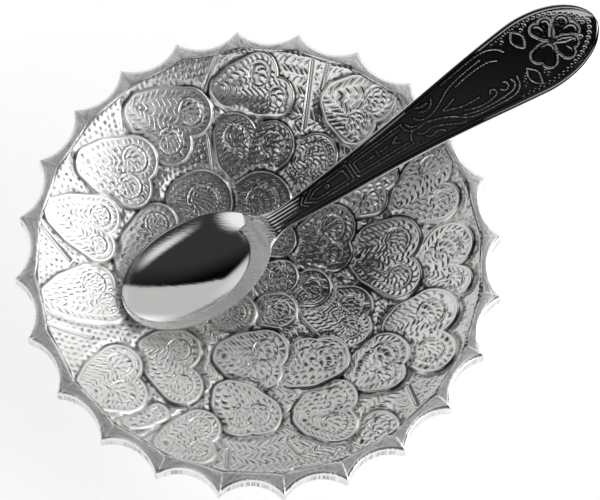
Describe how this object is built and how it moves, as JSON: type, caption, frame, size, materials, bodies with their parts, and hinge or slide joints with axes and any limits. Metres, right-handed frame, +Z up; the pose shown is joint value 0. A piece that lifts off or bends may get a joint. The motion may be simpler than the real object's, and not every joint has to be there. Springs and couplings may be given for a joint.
{
  "type": "offering bowl",
  "caption": "Shallow silver-plated bowl with a chased heart pattern, a pointed scalloped rim and a ring foot, with a matching spoon lying in it.",
  "frame": {"origin": "middle of the face that the foot ring stands on", "axes": "+Z up, +X to the right and +Y to the back, as the picture shows the bowl; the spoon's handle points to the right and back"},
  "size_m": [0.1456, 0.1394, 0.0374],
  "materials": {
    "chased_plate": "silver plate over brass sheet, chased, bright on the ridges and grey in the grooves",
    "foot_plate": "silver plate over brass, satin",
    "solder": "plated solder bead, dull",
    "spoon_plate": "silver plate, mirror polish, with a stamped pattern on the handle"
  },
  "bodies": {
    "dish": {"bowl": "chased_plate", "foot_ring": "foot_plate", "foot_solder": "solder"},
    "spoon": {"spoon": "spoon_plate"}
  },
  "joints": [
    {"name": "spoon_lift", "type": "slide", "parent": "dish", "child": "spoon", "axis": [0, 0, 1], "range_m": [0, 0.08]}
  ]
}
